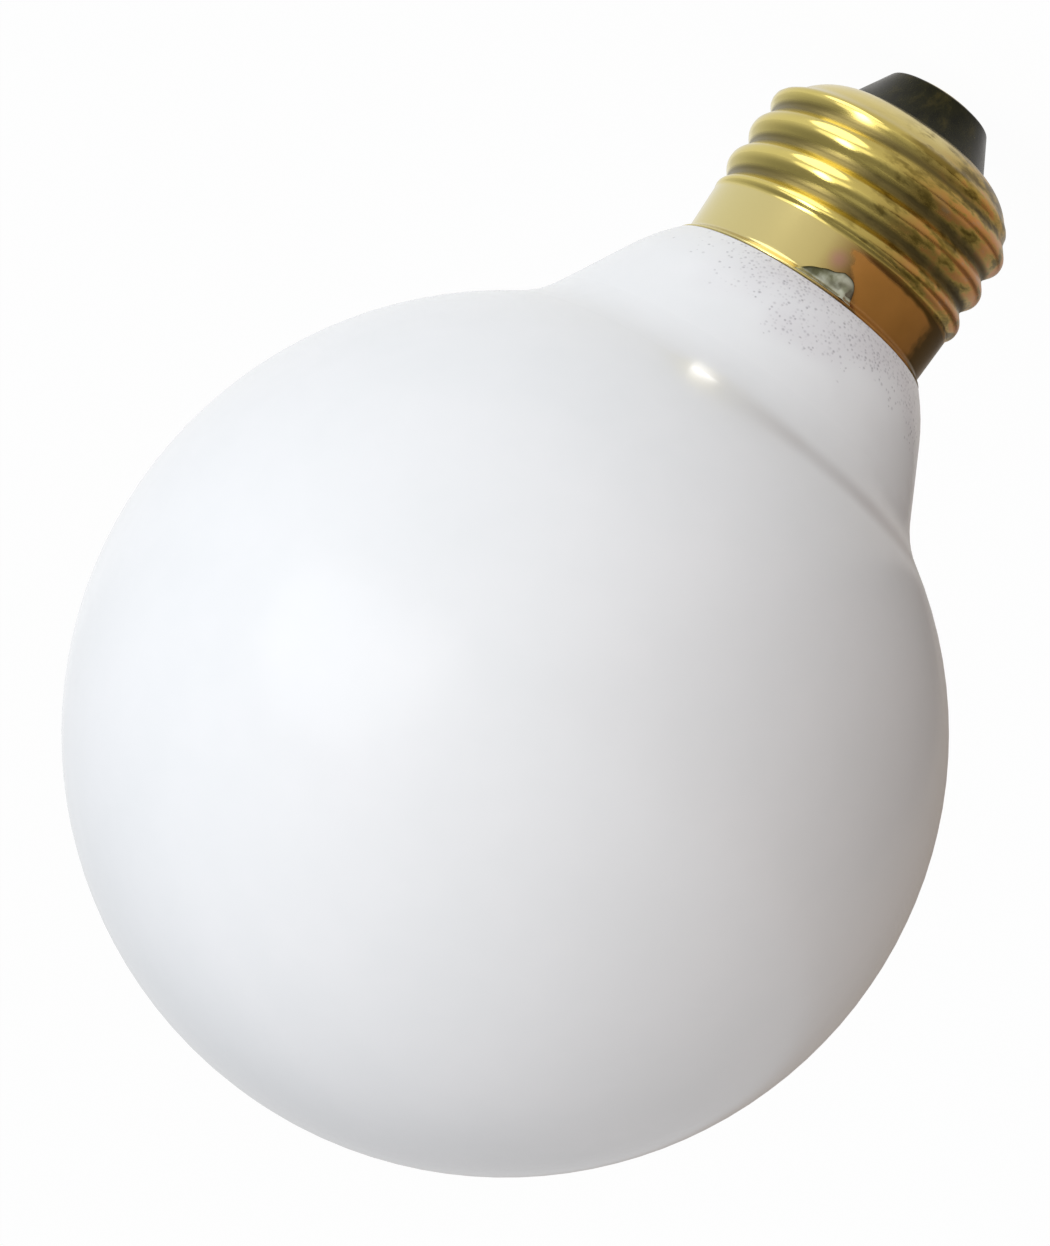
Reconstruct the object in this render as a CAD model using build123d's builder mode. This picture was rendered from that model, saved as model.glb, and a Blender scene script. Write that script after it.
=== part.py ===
from build123d import *
import math
import os

# Incandescent bulb, sizes in mm and degrees. The axis is Z, the cap is at the bottom,
# and the origin is where the centre contact meets the socket.

# glass globe
overall_length = 111.2
globe_diameter = 79.4
throat_radius = 11.0        # hollow curve between the globe and its neck
neck_half_angle = 27.0
shoulder_height = 4.1       # the neck rounds over towards the cap below this
shoulder_width = 2.75
ledge_overhang = 0.25       # glass beyond the lip of the shell
neck_depth = 9.9            # neck inside the shell
neck_wall = 1.3
stem_diameter = 7.2         # top of the flare that closes the neck
stem_depth = 7.0
exhaust_tip_diameter = 3.8
exhaust_tip_length = 6.0

# brass screw shell
sheet = 0.3
rim_height = 24.3           # outer edge of the lip
shell_end_height = 5.15
thread_minor_diameter = 24.4
thread_depth = 0.85
thread_pitch = 3.629
thread_crest_angle = 0.0    # where the crest stands at thread_crest_height
thread_crest_height = 12.17
crest_flat = 0.6            # the rounded ridge, as five flats
crest_bevel = 0.45
crest_bevel_depth = 0.2
flank_width = 0.55
end_round = 4.1             # curl at the insulator
end_bevels = 5              # flats that stand for the curl
skirt_length = 5.4
skirt_step = 0.4            # the skirt stands out from the root of the thread
skirt_rise = 0.25
runout = 1.1                # length over which the thread fades into the skirt
thread_end_height = 8.5     # the crests fade into the curl below this
thread_end_fade = 1.2
thread_end_inset = 1.5
lip_flare = 0.55
lip_height = 0.7
rim_gap = 0.1               # between the lip and the glass
notch_width = 0.5           # way out of the side wire
notch_depth = 0.8

# black glass insulator
insulator_tip_diameter = 10.3
insulator_tip_height = 0.8
insulator_half_angle = 29.0
insulator_top_height = 8.8
insulator_well_diameter = 13.0
wire_hole_diameter = 1.6

# contacts and solder
contact_diameter = 9.0
contact_thickness = 0.5
contact_seat = 0.3          # depth of the disc in the glass
contact_hole_diameter = 1.4
solder_diameter = 5.8
solder_flat_diameter = 3.2
solder_edge_width = 0.4
solder_edge_height = 0.25
side_solder_radius = 1.2    # half height of the blob
side_solder_length = 3.2    # run of the blob along the lip, between the centres of its ends
side_solder_rise = 0.8
side_solder_drop = 1.1      # centre below the rim
side_solder_angle = 268.0
side_angle = 260.0          # where the side wire comes out

# cement and lead wires
cement_gap = 0.6
cement_length = 4.7
wire_diameter = 0.3
wire_bend = 0.8
wire_seal = 1.5             # length held in the glass
wire_drop = 1.2             # side wire below the end of the neck
wire_exit_drop = 0.4        # side wire below the rim
wire_exit_bend = 0.4
centre_bend_height = 9.8    # where the centre wire reaches the axis

# derived sizes
globe_r = globe_diameter / 2
globe_z = overall_length - globe_r
minor_r = thread_minor_diameter / 2
crest_r = minor_r + thread_depth
bore_r = minor_r - sheet
skirt_r = minor_r + skirt_step
skirt_z = rim_height - skirt_length
lip_r = skirt_r + lip_flare
lip_z = rim_height - lip_height
mouth_r = minor_r - end_round
neck_r = bore_r - cement_gap
neck_end = rim_height - neck_depth
lip_top = rim_height + sheet * lip_flare / math.hypot(lip_flare, lip_height)
ledge_z = lip_top + rim_gap
ledge_r = lip_r + ledge_overhang
shoulder_r = ledge_r + shoulder_width
shoulder_z = ledge_z + shoulder_height
stem_r = stem_diameter / 2
stem_z = neck_end + stem_depth
exhaust_r = exhaust_tip_diameter / 2
lead_r = (stem_r + exhaust_r) / 2
wire_r = wire_diameter / 2
contact_z = insulator_tip_height + contact_seat - contact_thickness

# where the cone of the neck runs into the globe, as a depth below the globe's centre
slope = math.tan(math.radians(neck_half_angle))
cone_r = shoulder_r + slope * (globe_z - shoulder_z)
root = cone_r**2 * slope**2 - (1 + slope**2) * (cone_r**2 - globe_r**2)
throat_drop = (cone_r * slope + math.sqrt(root)) / (1 + slope**2)
throat = (cone_r - slope * throat_drop, globe_z - throat_drop)
throat_angle = math.degrees(math.atan2(-throat_drop, throat[0]))

side_plane = Plane(
    origin=(0, 0, 0),
    x_dir=(math.cos(math.radians(side_angle)), math.sin(math.radians(side_angle)), 0),
    z_dir=(math.sin(math.radians(side_angle)), -math.cos(math.radians(side_angle)), 0),
)

os.makedirs("parts", exist_ok=True)

# The side wire leaves the seal, turns under the end of the neck and comes up beside it.
with BuildPart() as side_lead_wire:
    under = neck_end - wire_drop
    beside = bore_r - cement_gap / 2
    out = rim_height - wire_exit_drop
    with BuildLine(side_plane) as side_path:
        Polyline(
            (lead_r, stem_z + wire_seal),
            (lead_r, under + wire_bend),
            (lead_r + wire_bend, under),
            (beside - wire_bend, under),
            (beside, under + wire_bend),
            (beside, out - wire_exit_bend),
            (beside + wire_exit_bend, out),
            (skirt_r + lip_flare / 2, out),
        )
    with BuildSketch(Plane(side_path.line @ 0, z_dir=side_path.line % 0)):
        Circle(wire_r)
    sweep(path=side_path.wires()[0], transition=Transition.RIGHT)
side_lead_wire.part.label = "side_lead_wire"

# The centre wire leaves the seal on the other side and bends in to the axis.
with BuildPart() as centre_lead_wire:
    with BuildLine(side_plane) as centre_path:
        Polyline(
            (-lead_r, stem_z + wire_seal),
            (-lead_r, under),
            (0, centre_bend_height),
            (0, contact_z / 2),
        )
    with BuildSketch(Plane(centre_path.line @ 0, z_dir=centre_path.line % 0)):
        Circle(wire_r)
    sweep(path=centre_path.wires()[0], transition=Transition.RIGHT)
centre_lead_wire.part.label = "centre_lead_wire"

# Sealed opaque envelope: globe, throat, tapered neck, ledge at the lip and closed end.
with BuildPart() as glass_globe:
    with BuildSketch(Plane.XZ) as globe_section:
        with BuildLine():
            CenterArc((0, globe_z), globe_r, throat_angle, 90 - throat_angle)
            Line(throat, (shoulder_r, shoulder_z))
            TangentArc((shoulder_r, shoulder_z), (ledge_r, ledge_z), tangent=(-slope, -1))
            Polyline(
                (ledge_r, ledge_z),
                (neck_r, ledge_z),
                (neck_r, neck_end),
                (neck_r - neck_wall, neck_end),
                (stem_r, stem_z),
                (exhaust_r, stem_z),
                (exhaust_r, stem_z - exhaust_tip_length + exhaust_r),
                (0, stem_z - exhaust_tip_length),
                (0, overall_length),
            )
        make_face()
        fillet(globe_section.vertices().sort_by_distance((*throat, 0))[0], throat_radius)
    revolve(axis=Axis.Z)
    add(side_lead_wire.part, mode=Mode.SUBTRACT)
    add(centre_lead_wire.part, mode=Mode.SUBTRACT)
glass_globe.part.label = "glass_globe"


def shell_line():
    """Outer line of the rolled sheet, from the curled end up to the lip."""
    curl = []
    for bevel in range(end_bevels + 1):
        turn = math.radians(90 * bevel / end_bevels)
        across = end_round * math.sin(turn)
        up = end_round * (1 - math.cos(turn))
        curl.append((mouth_r + across, shell_end_height + up))
    Polyline(
        *curl,
        (minor_r, skirt_z - skirt_rise),
        (skirt_r, skirt_z),
        (skirt_r, lip_z),
        (lip_r, rim_height),
    )


def thread_limit(inset):
    """Round body that the thread fades out against, at the curled end and at the skirt."""
    low_z = thread_end_height - thread_end_fade
    top_r = crest_r + sheet - inset
    fade_slope = thread_end_fade / thread_end_inset
    with BuildPart() as body:
        with BuildSketch(Plane.XZ):
            with BuildLine():
                Polyline(
                    (0, low_z),
                    (crest_r - inset - thread_end_inset, low_z),
                    (top_r, thread_end_height + sheet * fade_slope),
                    (top_r, skirt_z - runout),
                    (skirt_r - sheet / 3 - inset, skirt_z),
                    (0, skirt_z),
                    close=True,
                )
            make_face()
        revolve(axis=Axis.Z)
    return body.part


def thread_coil(inset):
    """Ridge of the thread, set in by the sheet for the hollow behind it."""
    flank_turn = math.atan2(thread_depth - crest_bevel_depth, flank_width)
    bevel_turn = math.atan2(crest_bevel_depth, crest_bevel)
    crest = crest_flat / 2
    bevel = crest + crest_bevel
    foot = bevel + flank_width + sheet / 2 / math.tan(flank_turn)
    foot_r = minor_r - sheet / 2 - inset
    middle = (flank_turn + bevel_turn) / 2
    reach = inset / math.cos((flank_turn - bevel_turn) / 2)
    bevel_r = crest_r - crest_bevel_depth - reach * math.cos(middle)
    foot -= inset * math.tan(flank_turn / 2)
    bevel -= reach * math.sin(middle)
    crest -= inset * math.tan(bevel_turn / 2)
    base_r = foot_r - 4 * sheet
    low = thread_end_height - thread_end_fade - foot
    high = skirt_z + foot
    with BuildPart() as coil:
        with BuildLine() as path:
            Helix(thread_pitch, high - low, minor_r)
        with BuildSketch(Plane(origin=path.line @ 0, x_dir=(1, 0, 0), z_dir=(0, 1, 0))):
            with Locations((-minor_r, 0)):
                Polygon(
                    (base_r, -foot),
                    (foot_r, -foot),
                    (bevel_r, -bevel),
                    (crest_r - inset, -crest),
                    (crest_r - inset, crest),
                    (bevel_r, bevel),
                    (foot_r, foot),
                    (base_r, foot),
                    align=None,
                )
        sweep(path=path.wires()[0], is_frenet=True)
    turn = thread_crest_angle + 360 * (low - thread_crest_height) / thread_pitch
    return coil.part.moved(Location((0, 0, low), (0, 0, turn)))


# Space inside the rolled sheet, which seats what the shell holds.
with BuildLine() as sheet_inside:
    shell_line()
    offset(amount=sheet, side=Side.LEFT, kind=Kind.INTERSECTION, closed=False)
inside_end = sheet_inside.vertices().sort_by(Axis.Y)[0]
inside_top = sheet_inside.vertices().sort_by(Axis.Y)[-1]
with BuildPart() as shell_void:
    with BuildSketch(Plane.XZ) as void_section:
        with BuildLine():
            add(sheet_inside.line)
            Polyline(
                (inside_top.X, inside_top.Y),
                (inside_top.X, ledge_z),
                (0, ledge_z),
                (0, shell_end_height),
                (mouth_r, shell_end_height),
                (inside_end.X, inside_end.Y),
            )
        make_face()
    revolve(axis=Axis.Z)

ridge = thread_coil(0) & thread_limit(0)
groove = thread_coil(sheet) & thread_limit(sheet)

# Rolled brass sheet: curled end, round thread that shows inside too, skirt and flared lip.
with BuildPart() as screw_shell:
    with BuildSketch(Plane.XZ):
        with BuildLine():
            shell_line()
            Polyline(
                (lip_r, rim_height),
                (inside_top.X, inside_top.Y),
                (0, inside_top.Y),
                (0, shell_end_height),
                (mouth_r, shell_end_height),
            )
        make_face()
    revolve(axis=Axis.Z)
    add(ridge)
    add(shell_void.part, mode=Mode.SUBTRACT)
    add(groove, mode=Mode.SUBTRACT)
    with BuildSketch(side_plane):
        with Locations((lip_r, lip_top - notch_depth / 2)):
            Rectangle(2 * (lip_r - skirt_r + sheet), notch_depth)
    extrude(amount=notch_width / 2, both=True, mode=Mode.SUBTRACT)
screw_shell.part.label = "screw_shell"

# Black glass moulded into the curled end, with a dished inside, a hole and a seat for the contact.
with BuildPart() as base_insulator:
    with BuildSketch(Plane.XZ) as insulator_section:
        add(void_section.sketch_local)
        with Locations((0, insulator_top_height)):
            Rectangle(lip_r, overall_length, align=(Align.MIN, Align.MIN), mode=Mode.SUBTRACT)
        with BuildLine():
            tip_r = insulator_tip_diameter / 2
            rise = shell_end_height - insulator_tip_height
            widening = rise * math.tan(math.radians(insulator_half_angle))
            Polyline(
                (0, insulator_tip_height),
                (tip_r, insulator_tip_height),
                (tip_r + widening, shell_end_height),
                (0, shell_end_height),
                close=True,
            )
        make_face()
        with BuildLine():
            Polyline(
                (0, insulator_top_height),
                (insulator_well_diameter / 2, insulator_top_height),
                (wire_hole_diameter / 2, shell_end_height),
                (wire_hole_diameter / 2, insulator_tip_height + contact_seat),
                (contact_diameter / 2, insulator_tip_height + contact_seat),
                (contact_diameter / 2, insulator_tip_height),
                (0, insulator_tip_height),
                close=True,
            )
        make_face(mode=Mode.SUBTRACT)
    revolve(axis=Axis.Z)
base_insulator.part.label = "base_insulator"

# Brass disc in the end of the insulator.
with BuildPart() as centre_contact:
    with Locations((0, 0, contact_z)):
        Cylinder(contact_diameter / 2, contact_thickness, align=(Align.CENTER, Align.CENTER, Align.MIN))
        Hole(contact_hole_diameter / 2)
centre_contact.part.label = "centre_contact"

# Dome of solder on the disc, which fills the hole round the wire.
with BuildPart() as centre_solder:
    with BuildSketch(Plane.XZ):
        with BuildLine():
            Polyline(
                (0, 0),
                (solder_flat_diameter / 2, 0),
                (solder_diameter / 2 - solder_edge_width, solder_edge_height),
                (solder_diameter / 2, contact_z),
                (contact_hole_diameter / 2, contact_z),
                (contact_hole_diameter / 2, contact_z + contact_thickness),
                (0, contact_z + contact_thickness),
                (0, 0),
            )
        make_face()
    revolve(axis=Axis.Z)
    add(centre_lead_wire.part, mode=Mode.SUBTRACT)
centre_solder.part.label = "centre_solder"

# Ring of cement between the neck and the skirt, moulded round the side wire.
with BuildPart() as base_cement:
    with BuildSketch(Plane.XZ):
        add(void_section.sketch_local)
        with Locations((neck_r, ledge_z)):
            Rectangle(lip_r, cement_length, align=(Align.MIN, Align.MAX), mode=Mode.INTERSECT)
    revolve(axis=Axis.Z)
    add(side_lead_wire.part, mode=Mode.SUBTRACT)
base_cement.part.label = "base_cement"

# Blob of solder on the skirt, over the end of the side wire.
with BuildPart() as side_solder:
    blob_r = skirt_r + side_solder_rise - side_solder_radius
    run = Location((0, 0, rim_height - side_solder_drop), (0, 0, side_solder_angle))
    with Locations(run * Location((blob_r, 0, 0), (90, 0, 0))):
        Cylinder(side_solder_radius, side_solder_length)
    with Locations(run * Location((blob_r, side_solder_length / 2, 0))):
        Sphere(side_solder_radius)
    with Locations(run * Location((blob_r, -side_solder_length / 2, 0))):
        Sphere(side_solder_radius)
    add(shell_void.part, mode=Mode.SUBTRACT)
    add(screw_shell.part, mode=Mode.SUBTRACT)
    add(side_lead_wire.part, mode=Mode.SUBTRACT)
side_solder.part.label = "side_solder"

export_step(glass_globe.part, "parts/glass_globe.step")
export_step(screw_shell.part, "parts/screw_shell.step")
export_step(base_insulator.part, "parts/base_insulator.step")
export_step(centre_contact.part, "parts/centre_contact.step")
export_step(centre_solder.part, "parts/centre_solder.step")
export_step(side_solder.part, "parts/side_solder.step")
export_step(base_cement.part, "parts/base_cement.step")
export_step(side_lead_wire.part, "parts/side_lead_wire.step")
export_step(centre_lead_wire.part, "parts/centre_lead_wire.step")
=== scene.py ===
import math

import bpy
from mathutils import Matrix, Vector, noise


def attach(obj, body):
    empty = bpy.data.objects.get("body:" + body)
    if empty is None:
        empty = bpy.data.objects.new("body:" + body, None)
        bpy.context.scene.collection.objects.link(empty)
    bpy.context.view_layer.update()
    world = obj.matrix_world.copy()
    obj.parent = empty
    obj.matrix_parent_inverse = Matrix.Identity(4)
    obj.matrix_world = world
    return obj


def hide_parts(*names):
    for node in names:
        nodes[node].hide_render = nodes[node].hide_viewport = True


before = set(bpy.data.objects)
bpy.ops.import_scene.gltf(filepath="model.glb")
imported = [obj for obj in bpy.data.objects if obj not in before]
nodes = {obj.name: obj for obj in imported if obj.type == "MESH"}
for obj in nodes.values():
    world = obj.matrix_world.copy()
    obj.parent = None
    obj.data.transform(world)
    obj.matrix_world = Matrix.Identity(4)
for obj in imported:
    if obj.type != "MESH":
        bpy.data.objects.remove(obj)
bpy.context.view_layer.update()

mm = 0.001


def hexColour(text):
    channels = [int(text[i:i + 2], 16) / 255 for i in (1, 3, 5)]
    linear = [c / 12.92 if c <= 0.04045 else ((c + 0.055) / 1.055) ** 2.4 for c in channels]
    return (*linear, 1.0)


def addNode(tree, kind, inputs=None, stops=None, **settings):
    node = tree.nodes.new(kind)
    for name, value in settings.items():
        setattr(node, name, value)
    for name, value in (inputs or {}).items():
        if isinstance(value, bpy.types.NodeSocket):
            tree.links.new(value, node.inputs[name])
        else:
            node.inputs[name].default_value = value
    if stops:  # colour ramp: (place, colour or grey level)
        ramp = node.color_ramp
        while len(ramp.elements) < len(stops):
            ramp.elements.new(0.5)
        for element, (place, colour) in zip(ramp.elements, stops):
            element.position = place
            element.color = hexColour(colour) if isinstance(colour, str) else (colour, colour, colour, 1)
    return node


def newMaterial(name):
    material = bpy.data.materials.new(name)
    material.use_nodes = True
    material.node_tree.nodes.clear()
    return material, material.node_tree


def smoothStep(low, high, value):
    t = min(max((value - low) / (high - low), 0), 1)
    return t * t * (3 - 2 * t)


# camera: a long lens, level with the globe and a little above it, rolled so the cap points up and right
cameraSet = {
    "distance": 0.7,
    "elevation": 10.0,
    "roll": 235.3,
    "focalPixels": 7813,
    "globeCentre": (0, 0, 71.5 * mm),
    "globePixel": (505.25, 733.4),
    "imageSize": (1050, 1246),
    "sensor": 36,
    "clip": (0.05, 20),
}


def makeCamera(spec):
    tilt = math.radians(spec["elevation"])
    target = Vector(spec["globeCentre"])
    place = target + spec["distance"] * Vector((0, -math.cos(tilt), math.sin(tilt)))
    toGlobe = (target - place).normalized()
    axisSeen = (Vector((0, 0, 1)) - toGlobe * toGlobe.z).normalized()
    acrossAxis = -toGlobe.cross(axisSeen)
    turn = math.radians(spec["roll"])
    right = math.cos(turn) * axisSeen - math.sin(turn) * acrossAxis
    up = math.sin(turn) * axisSeen + math.cos(turn) * acrossAxis
    width, height = spec["imageSize"]
    acrossShift = (spec["globePixel"][0] - width / 2) / spec["focalPixels"]
    upShift = (height / 2 - spec["globePixel"][1]) / spec["focalPixels"]
    forward = (toGlobe - acrossShift * right - upShift * up).normalized()
    right = (right - forward * right.dot(forward)).normalized()
    up = right.cross(forward)
    data = bpy.data.cameras.new("photoCamera")
    data.sensor_width = spec["sensor"]  # the long side of the picture
    data.lens = spec["sensor"] * spec["focalPixels"] / height
    data.clip_start, data.clip_end = spec["clip"]
    camera = bpy.data.objects.new("photoCamera", data)
    bpy.context.scene.collection.objects.link(camera)
    turned = Matrix((right, up, -forward)).transposed().to_4x4()
    camera.matrix_world = Matrix.Translation(place) @ turned
    bpy.context.scene.camera = camera


makeCamera(cameraSet)
print("camera ready")

# studio: white paper, one large soft box at the front on the bright side with a brighter middle that
# shows in what is glossy, and a room that is bright there and dim and warm on the other side
studio = {
    "floorSize": 8.0,
    "floorGlow": 0.97,
    "floorLeast": 0.15,
    "cardEdge": (-0.08, 0.05),
    "cardColour": "#8E8074",
    "cardMirrored": "#A09488",
    "cardPlace": (-0.34, -0.22, 0.001),
    "cardSize": 0.6,
    "roomLevel": 0.66,
    "roomLean": (0.33, -0.46, 0.02),  # brighter towards +X, the front and above
    "roomLeast": 0.06,
    "tintLean": (0.7, 0.0, 0.7),
    "zenith": 0.40,
    "zenithFrom": 0.7,
    "dimMirror": 0.72,
    "dimEdge": (-0.55, 0.25),
}
keyBox = {"name": "keyBox", "place": (1.08, -1.04, 0.24), "aim": (0, 0, 0.06), "size": (1.5, 1.5), "turn": 0,
          "power": 6.4, "spread": 180}
# gleams: small lamps that show as highlights on one piece and light nothing else
brassGleams = [
    {"name": "boxGleam", "place": (1.02, -0.98, 0.62), "aim": (0, 0, 0.01), "size": (0.42, 1.2), "turn": 0,
     "power": 7.0, "spread": 180},
    {"name": "paperGleam", "place": (0.033, -0.0315, 0.002), "aim": (0.033, -0.0315, 0.1),
     "size": (0.03, 0.06), "turn": 46, "power": 0.009, "spread": 180},
]
glassGleams = [
    {"name": "throatGleam", "place": (0.0044, -0.0168, 0.0300), "aim": (0.0035, -0.0222, 0.0385),
     "size": (0.0035, 0.0006), "turn": 0, "power": 0.00001, "spread": 60},
]


def makeFloor(spec):
    bpy.ops.object.select_all(action="DESELECT")
    bpy.ops.mesh.primitive_plane_add(size=spec["floorSize"], location=(0, 0, 0))
    floor = bpy.context.object
    floor.name = "studioFloor"
    material, tree = newMaterial("matt white studio paper")
    path = addNode(tree, "ShaderNodeLightPath")
    face = addNode(tree, "ShaderNodeNewGeometry")
    spot = addNode(tree, "ShaderNodeTexCoord")
    split = addNode(tree, "ShaderNodeSeparateXYZ", {"Vector": spot.outputs["Object"]})
    fibre = addNode(tree, "ShaderNodeTexNoise", {"Vector": spot.outputs["Object"], "Scale": 1 / (0.6 * mm),
                                                 "Detail": 2.0})
    paper = addNode(tree, "ShaderNodeValToRGB", {"Fac": fibre.outputs[0]},
                    stops=[(0.3, "#F1F1F1"), (0.7, "#F5F5F5")])
    matt = addNode(tree, "ShaderNodeBsdfDiffuse", {"Color": paper.outputs[0]})
    glow = addNode(tree, "ShaderNodeEmission", {"Strength": 1.0})
    seenGlossy = addNode(tree, "ShaderNodeMath", {0: path.outputs["Is Camera Ray"],
                         1: path.outputs["Is Glossy Ray"]}, operation="MAXIMUM")
    seen = addNode(tree, "ShaderNodeMath", {0: seenGlossy.outputs[0],
                   1: path.outputs["Is Transmission Ray"]}, operation="MAXIMUM")
    share = addNode(tree, "ShaderNodeMapRange", {"Value": seen.outputs[0], "To Min": spec["floorLeast"],
                                                 "To Max": spec["floorGlow"]})
    sheet = addNode(tree, "ShaderNodeMixShader", {0: share.outputs[0], 1: matt.outputs[0],
                                                  2: glow.outputs[0]})
    # the dark card lies on the shaded side and is seen in reflections only
    under = addNode(tree, "ShaderNodeMapRange", {"Value": split.outputs["X"], "From Min": spec["cardEdge"][0],
                    "From Max": spec["cardEdge"][1], "To Min": 1.0, "To Max": 0.0},
                    interpolation_type="SMOOTHSTEP")
    mirrored = addNode(tree, "ShaderNodeMath", {0: path.outputs["Is Glossy Ray"], 1: under.outputs[0]},
                       operation="MULTIPLY")
    card = addNode(tree, "ShaderNodeEmission", {"Color": hexColour(spec["cardMirrored"]), "Strength": 1.0})
    carded = addNode(tree, "ShaderNodeMixShader", {0: mirrored.outputs[0], 1: sheet.outputs[0],
                                                   2: card.outputs[0]})
    clear = addNode(tree, "ShaderNodeBsdfTransparent")
    below = addNode(tree, "ShaderNodeMath", {0: face.outputs["Backfacing"],
                    1: path.outputs["Is Camera Ray"]}, operation="MULTIPLY")
    sided = addNode(tree, "ShaderNodeMixShader", {0: below.outputs[0], 1: carded.outputs[0],
                                                  2: clear.outputs[0]})
    addNode(tree, "ShaderNodeOutputMaterial", {"Surface": sided.outputs[0]})
    floor.data.materials.append(material)


def makeCard(spec):
    # a brown card on the floor, out of the picture, keeps light off the shaded side
    bpy.ops.object.select_all(action="DESELECT")
    bpy.ops.mesh.primitive_plane_add(size=spec["cardSize"], location=spec["cardPlace"])
    card = bpy.context.object
    card.name = "shadeCard"
    card.visible_camera = False
    material, tree = newMaterial("matt brown studio card")
    matt = addNode(tree, "ShaderNodeBsdfDiffuse", {"Color": hexColour(spec["cardColour"])})
    addNode(tree, "ShaderNodeOutputMaterial", {"Surface": matt.outputs[0]})
    card.data.materials.append(material)


def makeRoom(spec):
    world = bpy.data.worlds.new("studioWorld")
    world.use_nodes = True
    tree = world.node_tree
    tree.nodes.clear()
    path = addNode(tree, "ShaderNodeLightPath")
    way = addNode(tree, "ShaderNodeTexCoord")
    split = addNode(tree, "ShaderNodeSeparateXYZ", {"Vector": way.outputs["Generated"]})
    lean = addNode(tree, "ShaderNodeVectorMath", {0: way.outputs["Generated"], 1: spec["roomLean"]},
                   operation="DOT_PRODUCT")
    level = addNode(tree, "ShaderNodeMath", {0: lean.outputs["Value"], 1: spec["roomLevel"]}, operation="ADD")
    least = addNode(tree, "ShaderNodeMath", {0: level.outputs[0], 1: spec["roomLeast"]}, operation="MAXIMUM")
    toned = addNode(tree, "ShaderNodeVectorMath", {0: way.outputs["Generated"], 1: spec["tintLean"]},
                    operation="DOT_PRODUCT")
    tint = addNode(tree, "ShaderNodeMapRange", {"Value": toned.outputs["Value"], "From Min": -1.0})
    warmth = addNode(tree, "ShaderNodeValToRGB", {"Fac": tint.outputs[0]},
                     stops=[(0.1, "#FFE2D4"), (0.45, "#FFFAF7"), (0.75, "#F7FAFF")])
    room = addNode(tree, "ShaderNodeBackground", {"Color": warmth.outputs[0], "Strength": least.outputs[0]})
    # what the camera and reflections see: white at the horizon, darker overhead, and dim in
    # reflections of the shaded side
    fall = addNode(tree, "ShaderNodeMapRange", {"Value": split.outputs["Z"], "From Min": 0.0,
                   "From Max": spec["zenithFrom"], "To Min": 1.0, "To Max": spec["zenith"]},
                   interpolation_type="SMOOTHSTEP")
    side = addNode(tree, "ShaderNodeMapRange", {"Value": split.outputs["X"], "From Min": spec["dimEdge"][0],
                   "From Max": spec["dimEdge"][1], "To Min": spec["dimMirror"], "To Max": 1.0},
                   interpolation_type="SMOOTHSTEP")
    straight = addNode(tree, "ShaderNodeMath", {0: 1.0, 1: path.outputs["Is Glossy Ray"]},
                       operation="SUBTRACT")
    shaded = addNode(tree, "ShaderNodeMath", {0: side.outputs[0], 1: straight.outputs[0]},
                     operation="MAXIMUM")
    strength = addNode(tree, "ShaderNodeMath", {0: fall.outputs[0], 1: shaded.outputs[0]},
                       operation="MULTIPLY")
    sweep = addNode(tree, "ShaderNodeBackground", {"Strength": strength.outputs[0]})
    seenGlossy = addNode(tree, "ShaderNodeMath", {0: path.outputs["Is Camera Ray"],
                         1: path.outputs["Is Glossy Ray"]}, operation="MAXIMUM")
    seen = addNode(tree, "ShaderNodeMath", {0: seenGlossy.outputs[0],
                   1: path.outputs["Is Transmission Ray"]}, operation="MAXIMUM")
    both = addNode(tree, "ShaderNodeMixShader", {0: seen.outputs[0], 1: room.outputs[0], 2: sweep.outputs[0]})
    addNode(tree, "ShaderNodeOutputWorld", {"Surface": both.outputs[0]})
    bpy.context.scene.world = world
    bpy.context.scene.view_settings.view_transform = "Standard"


def makeLamp(spec):
    data = bpy.data.lights.new(spec["name"], "AREA")
    data.shape = "ELLIPSE"
    data.size, data.size_y = spec["size"]
    data.energy = spec["power"]
    data.spread = math.radians(spec["spread"])
    lamp = bpy.data.objects.new(spec["name"], data)
    bpy.context.scene.collection.objects.link(lamp)
    lamp.location = spec["place"]
    aim = Vector(spec["aim"]) - Vector(spec["place"])
    upright = Matrix.Rotation(math.radians(spec["turn"]), 3, "Z")
    lamp.rotation_euler = (upright @ aim.to_track_quat("-Z", "Y").to_matrix()).to_euler()
    lamp.visible_camera = False
    return lamp


def makeGleams(specs, piece):
    seenOn = bpy.data.collections.new("gleams on " + piece.name)
    seenOn.objects.link(piece)
    for spec in specs:
        lamp = makeLamp(spec)
        lamp.visible_diffuse = False
        lamp.light_linking.receiver_collection = seenOn


makeFloor(studio)
makeCard(studio)
makeRoom(studio)
makeLamp(keyBox)
print("studio ready")

# Opal glass, blown and coated white inside: milky white with a smooth gloss, faintly clouded, with fine
# grey specks, a soft bloom where the neck was heated at the cap, and painted shade in the crease between
# neck and globe on the shaded side. Lengths are in mm.
glassSet = {
    "cloudSize": 14,
    "bloomLow": 24.6,
    "bloomHigh": 33,
    "bloomPatch": 4,
    "bloomRagged": 7,
    "bloomFront": (-2, -9),
    "bloomAside": (10, 3),
    "speckSize": 0.34,
    "creaseHeight": 39.4,
    "creaseHalf": 1.6,
    "creaseEnd": -15,
    "creaseShadeShare": 0.40,
}


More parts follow.
